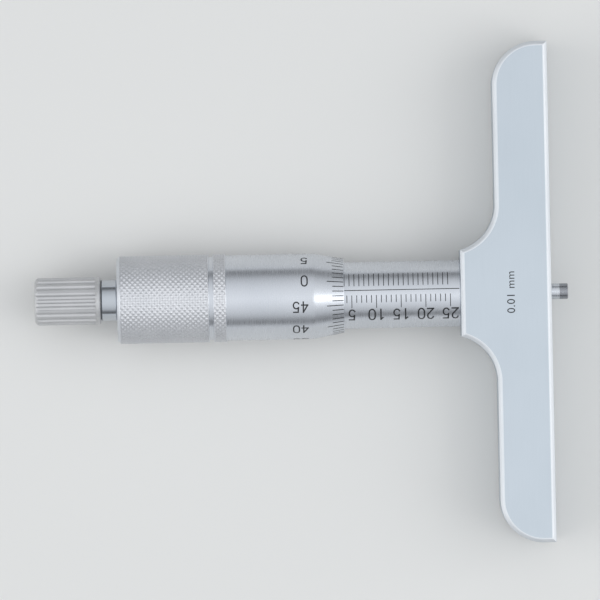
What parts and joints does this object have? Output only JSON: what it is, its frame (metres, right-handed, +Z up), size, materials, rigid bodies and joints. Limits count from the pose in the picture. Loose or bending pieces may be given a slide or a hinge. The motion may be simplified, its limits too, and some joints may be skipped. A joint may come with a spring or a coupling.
{
  "type": "depth micrometer",
  "caption": "Depth micrometer with a T-shaped flat base, a graduated sleeve and thimble, a measuring rod through the datum face, and a fluted ratchet knob.",
  "frame": {"origin": "on the measuring rod's axis, in the plane of the base's datum face", "axes": "+X is square to the datum face, the way the rod comes out; +Y runs along the base; +Z is up, towards the side that shows the index line, with the instrument lying on its back"},
  "size_m": [0.1084, 0.1016, 0.0178],
  "materials": {
    "base": "satin chrome over ground steel",
    "sleeve": "satin chrome with black filled graduations",
    "thimble": "satin chrome, diamond knurled grip, black filled graduations",
    "neck": "polished steel",
    "knob": "satin chrome, straight fluted",
    "rod": "ground and lapped",
    "tip": "lapped hard metal",
    "turned_steel": "fine turned",
    "hard_steel": "hardened and ground",
    "spring_steel": "drawn wire",
    "brass": "turned"
  },
  "bodies": {
    "base_group": {"base": "base", "rod_bush": "hard_steel", "barrel": "turned_steel", "graduated_sleeve": "sleeve", "adjusting_nut": "turned_steel"},
    "rod_group": {"measuring_rod": "rod", "rod_tip": "tip"},
    "thimble_group": {"spindle": "hard_steel", "thimble": "thimble", "ratchet_stud": "neck", "fixed_crown": "hard_steel", "screw_washer": "turned_steel", "retaining_screw": "turned_steel"},
    "knob_group": {"ratchet_knob": "knob", "crown_keys": "hard_steel", "thrust_washer": "brass", "ratchet_spring": "spring_steel", "knob_end_cap": "knob"},
    "crown_group": {"sliding_crown": "hard_steel"}
  },
  "joints": [
    {"name": "spindle_feed", "type": "slide", "parent": "base_group", "child": "rod_group", "axis": [1, 0, 0], "range_m": [-0.00348, 0.02152]},
    {"name": "thimble_turn", "type": "hinge", "parent": "rod_group", "child": "thimble_group", "pos_m": [0, 0, 0], "axis": [1, 0, 0], "range_deg": [-2506, 15495]},
    {"name": "ratchet_turn", "type": "hinge", "parent": "thimble_group", "child": "knob_group", "pos_m": [0, 0, 0], "axis": [1, 0, 0], "continuous": true},
    {"name": "crown_lift", "type": "slide", "parent": "knob_group", "child": "crown_group", "axis": [-1, 0, 0], "range_m": [0, 0.0007], "stiffness_N_per_m": 500, "springref_m": -0.001, "deforming": ["ratchet_spring"]}
  ],
  "couplings": [
    {"joint": "thimble_turn", "follows": "spindle_feed", "rad_per_m": 12566}
  ]
}
